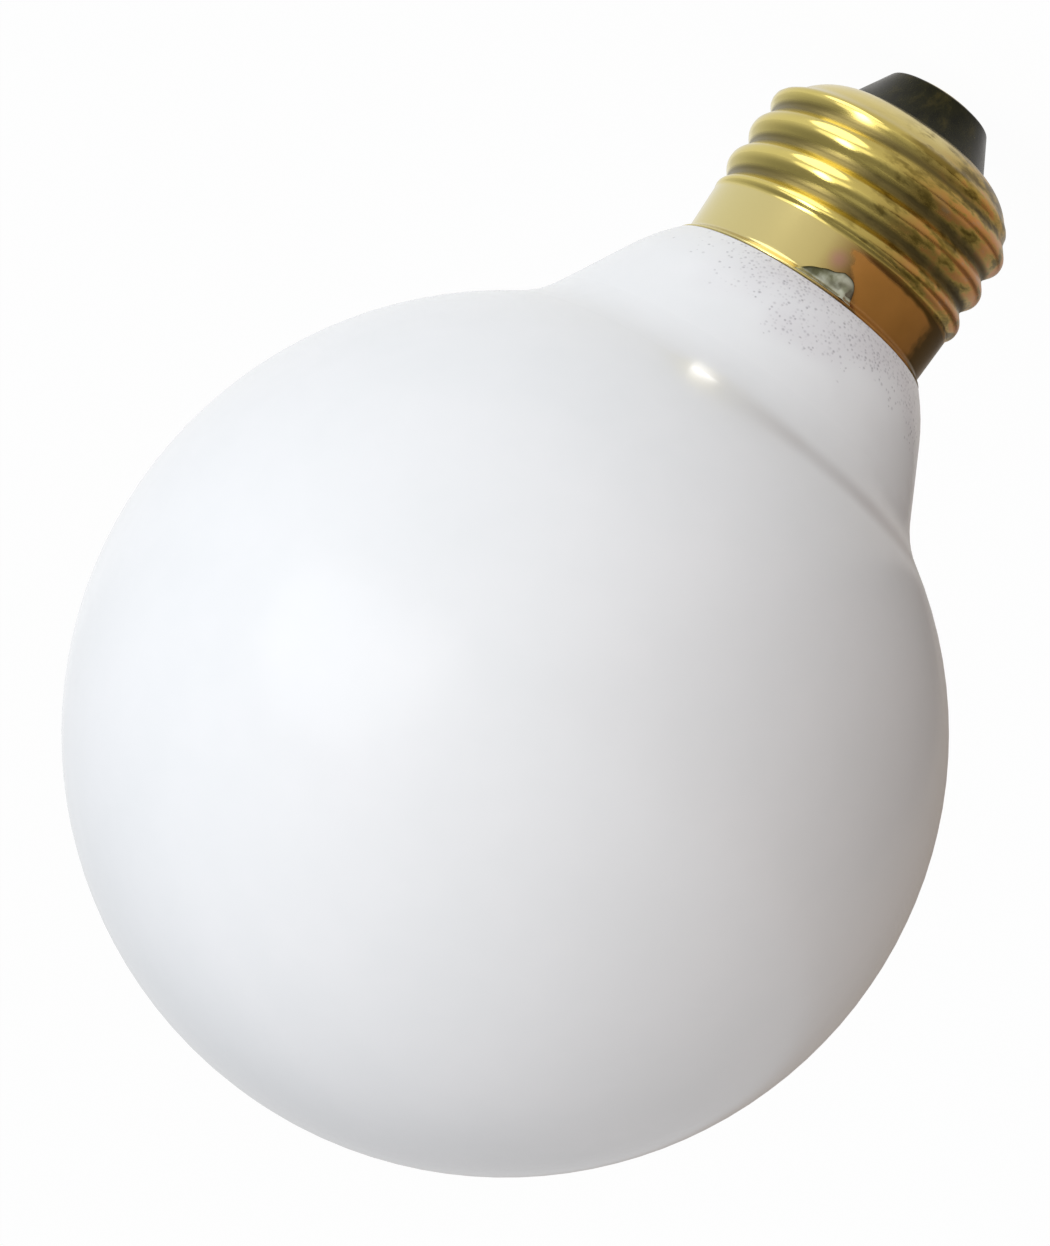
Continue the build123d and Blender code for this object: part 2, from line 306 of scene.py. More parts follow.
def opalGlass(spec):
    material, tree = newMaterial("blown opal glass, coated white inside")
    place = addNode(tree, "ShaderNodeTexCoord")
    spot = place.outputs["Object"]
    cloud = addNode(tree, "ShaderNodeTexNoise", {"Vector": spot, "Scale": 1 / (spec["cloudSize"] * mm),
                                                 "Detail": 3.0, "Roughness": 0.6})
    milk = addNode(tree, "ShaderNodeValToRGB", {"Fac": cloud.outputs[0]},
                   stops=[(0.25, "#F4F6F7"), (0.75, "#F9FAFB")])
    split = addNode(tree, "ShaderNodeSeparateXYZ", {"Vector": spot})
    # bloom above the lip of the cap, with a ragged edge
    ragged = addNode(tree, "ShaderNodeTexNoise", {"Vector": spot, "Scale": 1 / (spec["bloomPatch"] * mm),
                                                  "Detail": 0.0})
    lift = addNode(tree, "ShaderNodeMath", {0: ragged.outputs[0], 1: spec["bloomRagged"] * mm,
                                            2: -spec["bloomRagged"] / 2 * mm}, operation="MULTIPLY_ADD")
    level = addNode(tree, "ShaderNodeMath", {0: split.outputs["Z"], 1: lift.outputs[0]}, operation="ADD")
    band = addNode(tree, "ShaderNodeMapRange", {"Value": level.outputs[0], "From Min": spec["bloomLow"] * mm,
                                                "From Max": spec["bloomHigh"] * mm, "To Min": 1.0,
                                                "To Max": 0.0}, interpolation_type="SMOOTHSTEP")
    front = addNode(tree, "ShaderNodeMapRange", {"Value": split.outputs["Y"],
                                                 "From Min": spec["bloomFront"][0] * mm,
                                                 "From Max": spec["bloomFront"][1] * mm})
    aside = addNode(tree, "ShaderNodeMapRange", {"Value": split.outputs["X"],
                                                 "From Min": spec["bloomAside"][0] * mm,
                                                 "From Max": spec["bloomAside"][1] * mm, "To Min": 0.2})
    nearby = addNode(tree, "ShaderNodeMath", {0: front.outputs[0], 1: aside.outputs[0]}, operation="MULTIPLY")
    sooty = addNode(tree, "ShaderNodeMath", {0: band.outputs[0], 1: nearby.outputs[0]}, operation="MULTIPLY")
    cells = addNode(tree, "ShaderNodeTexVoronoi", {"Vector": spot, "Scale": 1 / (spec["speckSize"] * mm)},
                    feature="F1")
    lot = addNode(tree, "ShaderNodeSeparateColor", {"Color": cells.outputs["Color"]})
    dotSize = addNode(tree, "ShaderNodeMath", {0: lot.outputs[1], 1: 0.25, 2: 0.42}, operation="MULTIPLY_ADD")
    edge = addNode(tree, "ShaderNodeMath", {0: cells.outputs["Distance"], 1: dotSize.outputs[0]},
                   operation="DIVIDE")
    dot = addNode(tree, "ShaderNodeMapRange", {"Value": edge.outputs[0], "From Min": 0.0, "From Max": 1.15,
                                               "To Min": 1.0, "To Max": 0.0}, interpolation_type="SMOOTHSTEP")
    chance = addNode(tree, "ShaderNodeMath", {0: lot.outputs[0], 1: 0.95, 2: 0.10}, operation="MULTIPLY_ADD")
    kept = addNode(tree, "ShaderNodeMath", {0: sooty.outputs[0], 1: chance.outputs[0]},
                   operation="GREATER_THAN")
    speck = addNode(tree, "ShaderNodeMath", {0: dot.outputs[0], 1: kept.outputs[0]}, operation="MULTIPLY")
    faint = addNode(tree, "ShaderNodeMapRange", {"Value": lot.outputs[2], "To Min": 0.15, "To Max": 0.6})
    speckShare = addNode(tree, "ShaderNodeMath", {0: speck.outputs[0], 1: faint.outputs[0]},
                         operation="MULTIPLY")
    hazeShare = addNode(tree, "ShaderNodeMath", {0: sooty.outputs[0], 1: 0.4}, operation="MULTIPLY")
    hazed = addNode(tree, "ShaderNodeMix", {0: hazeShare.outputs[0], 6: milk.outputs[0],
                                            7: hexColour("#CFC8CE")}, data_type="RGBA")
    specked = addNode(tree, "ShaderNodeMix", {0: speckShare.outputs[0], 6: hazed.outputs[2],
                                              7: hexColour("#7C7680")}, data_type="RGBA")
    # painted shade: the crease between neck and globe is painted greyer, more so towards the shaded side
    fromCrease = addNode(tree, "ShaderNodeMath", {0: split.outputs["Z"], 1: spec["creaseHeight"] * mm},
                         operation="SUBTRACT")
    offCrease = addNode(tree, "ShaderNodeMath", {0: fromCrease.outputs[0]}, operation="ABSOLUTE")
    crease = addNode(tree, "ShaderNodeMapRange", {"Value": offCrease.outputs[0],
                                                  "From Min": spec["creaseHalf"] * mm, "From Max": 0.0},
                     interpolation_type="SMOOTHSTEP")
    creaseSide = addNode(tree, "ShaderNodeMapRange", {"Value": split.outputs["X"], "From Min": 0.0,
                                                      "From Max": spec["creaseEnd"] * mm,
                                                      "To Max": spec["creaseShadeShare"]})
    # share of painted shade in the crease
    film = addNode(tree, "ShaderNodeMath", {0: crease.outputs[0], 1: creaseSide.outputs[0]},
                   operation="MULTIPLY")
    creaseShaded = addNode(tree, "ShaderNodeMix", {0: film.outputs[0], 6: specked.outputs[2],
                                             7: hexColour("#8A7C7A")}, data_type="RGBA")
    gloss = addNode(tree, "ShaderNodeMapRange", {"Value": cloud.outputs[0], "To Min": 0.20, "To Max": 0.26})
    ripple = addNode(tree, "ShaderNodeBump", {"Height": cloud.outputs[0], "Strength": 0.05,
                                              "Distance": 0.3 * mm})
    skin = addNode(tree, "ShaderNodeBsdfPrincipled", {"Base Color": creaseShaded.outputs[2], "IOR": 1.5,
                                                      "Roughness": gloss.outputs[0],
                                                      "Normal": ripple.outputs[0]})
    addNode(tree, "ShaderNodeOutputMaterial", {"Surface": skin.outputs[0]})
    return material


# Brass sheet, rolled and lacquered: gold gloss that darkens and browns towards the heated side, which is
# the shaded side (heat tarnish and painted shade), paler on the curl (painted light), dirt and painted shade
# in the roots of the thread, dark olive streaks of wear and painted dark reflection at the front, orange and
# pink-brown heat tarnish along the crests on the heated side, and one flat brown stain of flux on the skirt.
# Lengths are in mm.
brassSet = {
    "root": 12.22,
    "flank": 12.55,
    "crest": 13.0,
    "curlLow": 6.6,
    "curlHigh": 8.0,
    "threadLow": 8.6,
    "skirtLow": 19.0,
    "skirtHigh": 19.4,
    "stainLow": 19.9,
    "stainLeft": -0.08,  # places round the cap as x / radius
    "stainSlant": 0.055,
    "stainRight": -0.84,
    "blushSpot": (-0.4, -12.6, 21.2),
    "blushSize": 1.4,
}


def rolledBrass(spec):
    material, tree = newMaterial("lacquered brass sheet, rolled")
    place = addNode(tree, "ShaderNodeTexCoord")
    spot = place.outputs["Object"]
    split = addNode(tree, "ShaderNodeSeparateXYZ", {"Vector": spot})
    flat = addNode(tree, "ShaderNodeMapping", {"Vector": spot, "Scale": (1.0, 1.0, 0.0)})
    radius = addNode(tree, "ShaderNodeVectorMath", {0: flat.outputs[0]}, operation="LENGTH")
    rim = addNode(tree, "ShaderNodeVectorMath", {0: flat.outputs[0]}, operation="NORMALIZE")
    around = addNode(tree, "ShaderNodeSeparateXYZ", {"Vector": rim.outputs[0]})
    # streaks run round the cap with the thread
    along = addNode(tree, "ShaderNodeMapping", {"Vector": spot, "Scale": (0.35, 0.35, 1.0)})
    streak = addNode(tree, "ShaderNodeTexNoise", {"Vector": along.outputs[0], "Scale": 1 / (1.1 * mm),
                                                  "Detail": 4.0, "Roughness": 0.6})
    patch = addNode(tree, "ShaderNodeTexNoise", {"Vector": spot, "Scale": 1 / (5.0 * mm), "Detail": 3.0})
    grit = addNode(tree, "ShaderNodeTexNoise", {"Vector": spot, "Scale": 1 / (0.6 * mm), "Detail": 3.0})
    # place round the cap, 0 on the heated side and 1 on the bright side; on the thread its edges wander
    turned = addNode(tree, "ShaderNodeMapRange", {"Value": around.outputs["X"], "From Min": -1.0})
    wander = addNode(tree, "ShaderNodeMath", {0: patch.outputs[0], 1: 0.16, 2: -0.08},
                     operation="MULTIPLY_ADD")
    turn = addNode(tree, "ShaderNodeMath", {0: turned.outputs[0], 1: wander.outputs[0]}, operation="ADD")
    # darker and browner towards the shaded side: partly heat tarnish, partly painted shade
    threadTarnishAndShade = addNode(tree, "ShaderNodeValToRGB", {"Fac": turn.outputs[0]},
                         stops=[(0.0, "#9A8440"), (0.3, "#AA904A"), (0.55, "#C8B464"), (1.0, "#D4C474")])
    skirtTarnishAndShade = addNode(tree, "ShaderNodeValToRGB", {"Fac": turned.outputs[0]},
                        stops=[(0.0, "#6E5A24"), (0.40, "#987040"), (0.55, "#C0AE70"), (1.0, "#D2C68C")])
    onSkirt = addNode(tree, "ShaderNodeMapRange", {"Value": split.outputs["Z"],
                                                   "From Min": spec["skirtLow"] * mm,
                                                   "From Max": spec["skirtHigh"] * mm})
    notSkirt = addNode(tree, "ShaderNodeMath", {0: 1.0, 1: onSkirt.outputs[0]}, operation="SUBTRACT")
    tone = addNode(tree, "ShaderNodeMix", {0: onSkirt.outputs[0], 6: threadTarnishAndShade.outputs[0],
                                           7: skirtTarnishAndShade.outputs[0]}, data_type="RGBA")
    # painted light: the curl is painted paler
    curlPaintedLight = addNode(tree, "ShaderNodeMapRange", {"Value": split.outputs["Z"],
                                                  "From Min": spec["curlHigh"] * mm,
                                                  "From Max": spec["curlLow"] * mm, "To Max": 0.7})
    curlPaintedPale = addNode(tree, "ShaderNodeMix", {0: curlPaintedLight.outputs[0], 6: tone.outputs[2],
                                            7: hexColour("#EEDE9C")}, data_type="RGBA")
    # heat tarnish: orange and pink on the crests, olive to dark between them
    heat = addNode(tree, "ShaderNodeMapRange", {"Value": turn.outputs[0], "From Min": 0.42, "From Max": 0.20},
                   interpolation_type="SMOOTHSTEP")
    proud = addNode(tree, "ShaderNodeMapRange", {"Value": radius.outputs["Value"],
                                                 "From Min": spec["root"] * mm,
                                                 "From Max": spec["crest"] * mm,
                                                 "To Min": -0.08, "To Max": 0.07})
    warmed = addNode(tree, "ShaderNodeMath", {0: streak.outputs[0], 1: proud.outputs[0]}, operation="ADD")
    burnt = addNode(tree, "ShaderNodeValToRGB", {"Fac": warmed.outputs[0]},
                    stops=[(0.34, "#6E5A24"), (0.43, "#A08840"), (0.50, "#C0A052"), (0.58, "#CC9450"),
                           (0.66, "#D09256"), (0.75, "#C49A6E")])
    burntShare = addNode(tree, "ShaderNodeMath", {0: heat.outputs[0], 1: notSkirt.outputs[0]},
                         operation="MULTIPLY")
    tarnished = addNode(tree, "ShaderNodeMix", {0: burntShare.outputs[0], 6: curlPaintedPale.outputs[2],
                                                7: burnt.outputs[0]}, data_type="RGBA")
    # dark olive streaks along the thread, strongest at the front and on the shaded side: wear and painted
    # dark reflection
    darkStreakPlace = addNode(tree, "ShaderNodeValToRGB", {"Fac": turn.outputs[0]},
                     stops=[(0.0, 0.8), (0.10, 0.25), (0.34, 0.7), (0.48, 0.8), (0.60, 0.1), (1.0, 0.0)])
    darkStreak = addNode(tree, "ShaderNodeMapRange", {"Value": streak.outputs[0], "From Min": 0.52,
                                                "From Max": 0.38, "To Min": 0.0, "To Max": 0.85},
                   interpolation_type="SMOOTHSTEP")
    darkStreakHere = addNode(tree, "ShaderNodeMath", {0: darkStreak.outputs[0], 1: darkStreakPlace.outputs[0]},
                       operation="MULTIPLY")
    darkStreakShare = addNode(tree, "ShaderNodeMath", {0: darkStreakHere.outputs[0], 1: notSkirt.outputs[0]},
                        operation="MULTIPLY")
    olive = addNode(tree, "ShaderNodeMix", {0: darkStreakShare.outputs[0], 6: tarnished.outputs[2],
                                            7: hexColour("#6A5822")}, data_type="RGBA")
    # dirt and painted shade in the roots of the thread
    deep = addNode(tree, "ShaderNodeMapRange", {"Value": radius.outputs["Value"],
                                                "From Min": spec["flank"] * mm,
                                                "From Max": spec["root"] * mm},
                   interpolation_type="SMOOTHSTEP")
    onThread = addNode(tree, "ShaderNodeMapRange", {"Value": split.outputs["Z"],
                                                    "From Min": spec["threadLow"] * mm,
                                                    "From Max": (spec["threadLow"] + 0.8) * mm})
    groove = addNode(tree, "ShaderNodeMath", {0: deep.outputs[0], 1: onThread.outputs[0]},
                     operation="MULTIPLY")
    rootDirtAndShade = addNode(tree, "ShaderNodeMath", {0: groove.outputs[0], 1: notSkirt.outputs[0]},
                   operation="MULTIPLY")
    rootDirtAndShadeShare = addNode(tree, "ShaderNodeMath", {0: rootDirtAndShade.outputs[0], 1: 0.85}, operation="MULTIPLY")
    dirtiedAndShaded = addNode(tree, "ShaderNodeMix", {0: rootDirtAndShadeShare.outputs[0], 6: olive.outputs[2],
                                             7: hexColour("#564C30")}, data_type="RGBA")
    # blush beside the solder
    apart = addNode(tree, "ShaderNodeVectorMath", {0: spot, 1: [c * mm for c in spec["blushSpot"]]},
                    operation="DISTANCE")
    blush = addNode(tree, "ShaderNodeMapRange", {"Value": apart.outputs["Value"],
                                                 "From Min": spec["blushSize"] * mm, "From Max": 0.0,
                                                 "To Min": 0.0, "To Max": 0.8},
                    interpolation_type="SMOOTHSTEP")
    blushed = addNode(tree, "ShaderNodeMix", {0: blush.outputs[0], 6: dirtiedAndShaded.outputs[2],
                                              7: hexColour("#B88A78")}, data_type="RGBA")
    # stain of flux on the skirt, between the solder and the shaded edge
    jag = addNode(tree, "ShaderNodeMath", {0: grit.outputs[0], 1: 0.08, 2: -0.04}, operation="MULTIPLY_ADD")
    ragged = addNode(tree, "ShaderNodeMath", {0: around.outputs["X"], 1: jag.outputs[0]}, operation="ADD")
    slant = addNode(tree, "ShaderNodeMath", {0: split.outputs["Z"], 1: spec["stainSlant"] / mm,
                                             2: -spec["stainSlant"] * spec["stainLow"]},
                    operation="MULTIPLY_ADD")
    slanted = addNode(tree, "ShaderNodeMath", {0: ragged.outputs[0], 1: slant.outputs[0]}, operation="ADD")
    fromLeft = addNode(tree, "ShaderNodeMapRange", {"Value": slanted.outputs[0],
                                                    "From Min": spec["stainLeft"] + 0.02,
                                                    "From Max": spec["stainLeft"] - 0.02})
    fromRight = addNode(tree, "ShaderNodeMapRange", {"Value": ragged.outputs[0],
                                                     "From Min": spec["stainRight"] - 0.03,
                                                     "From Max": spec["stainRight"] + 0.03})
    lifted = addNode(tree, "ShaderNodeMath", {0: patch.outputs[0], 1: 1.2 * mm, 2: split.outputs["Z"]},
                     operation="MULTIPLY_ADD")
    fromThread = addNode(tree, "ShaderNodeMapRange", {"Value": lifted.outputs[0],
                                                      "From Min": (spec["stainLow"] + 0.4) * mm,
                                                      "From Max": (spec["stainLow"] + 0.7) * mm})
    front = addNode(tree, "ShaderNodeMapRange", {"Value": split.outputs["Y"], "From Min": 0.0,
                                                 "From Max": -2 * mm})
    across = addNode(tree, "ShaderNodeMath", {0: fromLeft.outputs[0], 1: fromRight.outputs[0]},
                     operation="MULTIPLY")
    upward = addNode(tree, "ShaderNodeMath", {0: fromThread.outputs[0], 1: front.outputs[0]},
                     operation="MULTIPLY")
    stain = addNode(tree, "ShaderNodeMath", {0: across.outputs[0], 1: upward.outputs[0]},
                    operation="MULTIPLY")
    flux = addNode(tree, "ShaderNodeValToRGB", {"Fac": patch.outputs[0]},
                   stops=[(0.3, "#9E6A24"), (0.7, "#AE762E")])
    stainShare = addNode(tree, "ShaderNodeMath", {0: stain.outputs[0], 1: 0.95}, operation="MULTIPLY")
    stained = addNode(tree, "ShaderNodeMix", {0: stainShare.outputs[0], 6: blushed.outputs[2],
                                              7: flux.outputs[0]}, data_type="RGBA")
    metal = addNode(tree, "ShaderNodeMapRange", {"Value": stain.outputs[0], "To Min": 1.0, "To Max": 0.3})
    smooth = addNode(tree, "ShaderNodeMapRange", {"Value": heat.outputs[0], "To Min": 0.17, "To Max": 0.30})
    dulled = addNode(tree, "ShaderNodeMath", {0: rootDirtAndShade.outputs[0], 1: 0.2, 2: smooth.outputs[0]},
                     operation="MULTIPLY_ADD")
    rough = addNode(tree, "ShaderNodeMath", {0: stain.outputs[0], 1: 0.15, 2: dulled.outputs[0]},
                    operation="MULTIPLY_ADD")
    lines = addNode(tree, "ShaderNodeMapping", {"Vector": spot, "Scale": (0.1, 0.1, 3.0)})
    grain = addNode(tree, "ShaderNodeTexNoise", {"Vector": lines.outputs[0], "Scale": 1 / (0.9 * mm),
                                                 "Detail": 2.0})
    bump = addNode(tree, "ShaderNodeBump", {"Height": grain.outputs[0], "Strength": 0.1,
                                            "Distance": 0.05 * mm})
    skin = addNode(tree, "ShaderNodeBsdfPrincipled", {"Base Color": stained.outputs[2],
                                                      "Metallic": metal.outputs[0],
                                                      "Roughness": rough.outputs[0],
                                                      "Normal": bump.outputs[0]})
    addNode(tree, "ShaderNodeOutputMaterial", {"Surface": skin.outputs[0]})
    return material


# Brass disc, stamped: plain gold metal with fine scratches from many sockets.
def stampedBrass():
    material, tree = newMaterial("brass disc, stamped")
    place = addNode(tree, "ShaderNodeTexCoord")
    film = addNode(tree, "ShaderNodeTexNoise", {"Vector": place.outputs["Object"], "Scale": 1 / (1.5 * mm),
                                                "Detail": 4.0})
    tone = addNode(tree, "ShaderNodeValToRGB", {"Fac": film.outputs[0]},
                   stops=[(0.3, "#8E7A38"), (0.5, "#BCA658"), (0.7, "#D6C27A")])
    rough = addNode(tree, "ShaderNodeMapRange", {"Value": film.outputs[0], "To Min": 0.38, "To Max": 0.2})
    scratch = addNode(tree, "ShaderNodeMapping", {"Vector": place.outputs["Object"], "Scale": (0.2, 3.0, 1.0),
                                                  "Rotation": (0, 0, 0.5)})
    marks = addNode(tree, "ShaderNodeTexNoise", {"Vector": scratch.outputs[0], "Scale": 1 / (0.5 * mm),
                                                 "Detail": 2.0})
    bump = addNode(tree, "ShaderNodeBump", {"Height": marks.outputs[0], "Strength": 0.2,
                                            "Distance": 0.05 * mm})
    skin = addNode(tree, "ShaderNodeBsdfPrincipled", {"Base Color": tone.outputs[0], "Metallic": 1.0,
                                                      "Roughness": rough.outputs[0],
                                                      "Normal": bump.outputs[0]})
    addNode(tree, "ShaderNodeOutputMaterial", {"Surface": skin.outputs[0]})
    return material


# Black glass, moulded hot: deep olive-black gloss with brown flow streaks down the cone.
def blackGlass():
    material, tree = newMaterial("black glass, moulded")
    place = addNode(tree, "ShaderNodeTexCoord")
    along = addNode(tree, "ShaderNodeMapping", {"Vector": place.outputs["Object"], "Scale": (1.0, 1.0, 0.35)})
    flow = addNode(tree, "ShaderNodeTexNoise", {"Vector": along.outputs[0], "Scale": 1 / (1.6 * mm),
                                                "Detail": 4.0, "Roughness": 0.6})
    tone = addNode(tree, "ShaderNodeValToRGB", {"Fac": flow.outputs[0]},
                   stops=[(0.34, "#101008"), (0.54, "#22210F"), (0.72, "#3C361A")])
    rough = addNode(tree, "ShaderNodeMapRange", {"Value": flow.outputs[0], "To Min": 0.10, "To Max": 0.40})
    bump = addNode(tree, "ShaderNodeBump", {"Height": flow.outputs[0], "Strength": 0.25,
                                            "Distance": 0.1 * mm})
    skin = addNode(tree, "ShaderNodeBsdfPrincipled", {"Base Color": tone.outputs[0], "IOR": 1.5,
                                                      "Specular IOR Level": 0.12,
                                                      "Specular Tint": hexColour("#D8D4A8"),
                                                      "Roughness": rough.outputs[0],
                                                      "Normal": bump.outputs[0]})
    addNode(tree, "ShaderNodeOutputMaterial", {"Surface": skin.outputs[0]})
    return material


# Tin solder, run hot and set: grey with a green cast, smooth and bright on its back, with painted shade
# at its thin edge. The edge of the painted shade is given as two distances from the axis, in mm.
def tinSolder(name, edge):
    material, tree = newMaterial(name)
    place = addNode(tree, "ShaderNodeTexCoord")
    spot = place.outputs["Object"]
    folds = addNode(tree, "ShaderNodeTexNoise", {"Vector": spot, "Scale": 1 / (1.3 * mm), "Detail": 2.0})
    tone = addNode(tree, "ShaderNodeValToRGB", {"Fac": folds.outputs[0]},
                   stops=[(0.34, "#74745A"), (0.46, "#9C9E88"), (0.62, "#C0C2B0")])
    flat = addNode(tree, "ShaderNodeMapping", {"Vector": spot, "Scale": (1.0, 1.0, 0.0)})
    radius = addNode(tree, "ShaderNodeVectorMath", {0: flat.outputs[0]}, operation="LENGTH")
    # painted shade: darker towards the thin edge
    thin = addNode(tree, "ShaderNodeMapRange", {"Value": radius.outputs["Value"], "From Min": edge[0] * mm,
                                                "From Max": edge[1] * mm, "To Min": 1.0, "To Max": 0.0},
                   interpolation_type="SMOOTHSTEP")
    edgeShaded = addNode(tree, "ShaderNodeMix", {0: thin.outputs[0], 6: tone.outputs[0], 7: hexColour("#3C3A22")},
                    data_type="RGBA")
    rough = addNode(tree, "ShaderNodeMapRange", {"Value": folds.outputs[0], "To Min": 0.36, "To Max": 0.14})
    bump = addNode(tree, "ShaderNodeBump", {"Height": folds.outputs[0], "Strength": 0.15,
                                            "Distance": 0.08 * mm})
    skin = addNode(tree, "ShaderNodeBsdfPrincipled", {"Base Color": edgeShaded.outputs[2], "Metallic": 1.0,
                                                      "Roughness": rough.outputs[0],
                                                      "Normal": bump.outputs[0]})
    addNode(tree, "ShaderNodeOutputMaterial", {"Surface": skin.outputs[0]})
    return material


# Lamp cement, baked: dull cream to brown with sandy grain.
def bakedCement():
    material, tree = newMaterial("lamp cement, baked")
    place = addNode(tree, "ShaderNodeTexCoord")
    sand = addNode(tree, "ShaderNodeTexNoise", {"Vector": place.outputs["Object"], "Scale": 1 / (0.4 * mm),
                                                "Detail": 4.0})
    tone = addNode(tree, "ShaderNodeValToRGB", {"Fac": sand.outputs[0]},
                   stops=[(0.3, "#8E7A5C"), (0.7, "#C9B48F")])
    bump = addNode(tree, "ShaderNodeBump", {"Height": sand.outputs[0], "Strength": 0.4, "Distance": 0.1 * mm})
    skin = addNode(tree, "ShaderNodeBsdfPrincipled", {"Base Color": tone.outputs[0], "Roughness": 0.9,
                                                      "Normal": bump.outputs[0]})
    addNode(tree, "ShaderNodeOutputMaterial", {"Surface": skin.outputs[0]})
    return material


# Copper wire, drawn: warm red metal, a little oxidised.
def drawnCopper():
    material, tree = newMaterial("copper wire, drawn")
    place = addNode(tree, "ShaderNodeTexCoord")
    film = addNode(tree, "ShaderNodeTexNoise", {"Vector": place.outputs["Object"], "Scale": 1 / (0.8 * mm),
                                                "Detail": 2.0})
    tone = addNode(tree, "ShaderNodeValToRGB", {"Fac": film.outputs[0]},
                   stops=[(0.3, "#8A4A30"), (0.7, "#C98362")])
    rough = addNode(tree, "ShaderNodeMapRange", {"Value": film.outputs[0], "To Min": 0.25, "To Max": 0.45})
    skin = addNode(tree, "ShaderNodeBsdfPrincipled", {"Base Color": tone.outputs[0], "Metallic": 1.0,
                                                      "Roughness": rough.outputs[0]})
    addNode(tree, "ShaderNodeOutputMaterial", {"Surface": skin.outputs[0]})
    return material


smearShadedEdge = (12.58, 12.78)
noShadedEdge = (-2, -1)  # no point lies at such a distance, so the dome has no painted shade at its edge
glassFinish = opalGlass(glassSet)
brassFinish = rolledBrass(brassSet)
discFinish = stampedBrass()
blackFinish = blackGlass()
smearFinish = tinSolder("tin solder, smeared on and set", smearShadedEdge)
domeFinish = tinSolder("tin solder, dropped on and set", noShadedEdge)
cementFinish = bakedCement()
copperFinish = drawnCopper()
print("materials ready")


def dress(piece, finish):
    piece.data.materials.clear()
    piece.data.materials.append(finish)


def turnPiece(name, line, steps):
    # one corner of a plane is drawn out along the line, then spun about the axis
    bpy.ops.object.select_all(action="DESELECT")
    bpy.ops.mesh.primitive_plane_add(size=mm, location=(0, 0, 0))
    piece = bpy.context.object
    piece.name = name
    piece.data.name = name
    bpy.ops.object.mode_set(mode="EDIT")
    bpy.ops.mesh.select_all(action="SELECT")
    bpy.ops.mesh.merge(type="CENTER")
    bpy.ops.transform.translate(value=(line[0][0] * mm, 0, line[0][1] * mm))
    for (r0, z0), (r1, z1) in zip(line, line[1:]):
        step = ((r1 - r0) * mm, 0, (z1 - z0) * mm)
        bpy.ops.mesh.extrude_region_move(TRANSFORM_OT_translate={"value": step})
    bpy.ops.mesh.select_all(action="SELECT")
    bpy.ops.mesh.spin(steps=steps, angle=2 * math.pi, center=(0, 0, 0), axis=(0, 0, 1))
    bpy.ops.mesh.select_all(action="SELECT")
    bpy.ops.mesh.remove_doubles(threshold=0.002 * mm)
    bpy.ops.mesh.normals_make_consistent(inside=False)
    bpy.ops.object.mode_set(mode="OBJECT")
    bpy.ops.object.shade_smooth_by_angle(angle=math.radians(40))
    return piece


def place(piece, node, slot, finish):
    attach(piece, "root")
    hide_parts(node)
    dress(piece, finish)


# screw shell: sheet 0.3 mm thick, curl, thread, skirt and lip, in mm
shellSet = {
    "sheet": 0.3,
    "mouthRadius": 8.1,
    "endHeight": 5.15,
    "curl": 4.1,
    "curlFlat": 0.3,  # share by which the round of the curl is flattened
    "curlSteps": 18,
    "rootRadius": 12.2,
    "threadDepth": 0.85,
    "pitch": 3.629,
    "crestHeight": 12.17,
    "crestShape": 2.5,
    "threadStep": 0.18,
    "fadeIn": (7.2, 8.6),
    "fadeOut": (18.2, 19.8),
    "skirtRadius": 12.6,
    "skirtStart": 18.9,
    "skirtRise": 0.45,
    "waistRadius": 12.45,
    "lipStart": 23.55,
    "lipRadius": 13.1,
    "lipBend": 1.9,
    "rimHeight": 24.2,
    "skirtShares": (0.04, 0.08, 0.12, 0.16, 0.2, 0.25, 0.6, 0.96),  # where the skirt has rows of points
    "lipSteps": 8,
    "beadSteps": 7,
    "steps": 288,
}


def skirtLine(spec, z):
    taper = (z - spec["skirtStart"]) / (spec["lipStart"] - spec["skirtStart"])
    narrow = (spec["skirtRadius"] - spec["waistRadius"]) * min(max(taper, 0), 1)
    flare = max((z - spec["lipStart"]) / (spec["rimHeight"] - spec["lipStart"]), 0)
    return spec["skirtRadius"] - narrow + (spec["lipRadius"] - spec["waistRadius"]) * flare ** spec["lipBend"]


def skirtGrown(spec, z):
    # how far the step up to the skirt has grown
    grown = smoothStep(spec["skirtStart"] - spec["skirtRise"], spec["skirtStart"], z)
    return (spec["skirtRadius"] - spec["rootRadius"]) * grown


def shellLine(spec):
    root, curl = spec["rootRadius"], spec["curl"]
    line = []
    for step in range(spec["curlSteps"] + 1):
        share = step / spec["curlSteps"]
        turn = math.pi / 2 * share
        out = math.sin(turn) + spec["curlFlat"] * (share - math.sin(turn))
        rise = 1 - math.cos(turn) + spec["curlFlat"] * (share - 1 + math.cos(turn))
        line.append((spec["mouthRadius"] + curl * out, spec["endHeight"] + curl * rise))
    z = spec["endHeight"] + curl
    count = round((spec["skirtStart"] - z) / spec["threadStep"])
    rise = (spec["skirtStart"] - z) / count
    for step in range(1, count + 1):
        level = z + rise * step
        line.append((root + skirtGrown(spec, level), level))
    for share in spec["skirtShares"]:
        level = spec["skirtStart"] + share * (spec["lipStart"] - spec["skirtStart"])
        line.append((skirtLine(spec, level), level))
    for step in range(spec["lipSteps"] + 1):
        level = spec["lipStart"] + (spec["rimHeight"] - spec["lipStart"]) * step / spec["lipSteps"]
        line.append((skirtLine(spec, level), level))
    return line


def insetLine(line, amount):
    inner = []
    for index, (r, z) in enumerate(line):
        r0, z0 = line[max(index - 1, 0)]
        r1, z1 = line[min(index + 1, len(line) - 1)]
        along = Vector((r1 - r0, z1 - z0)).normalized()
        inner.append((r - along.y * amount, z + along.x * amount))
    return inner


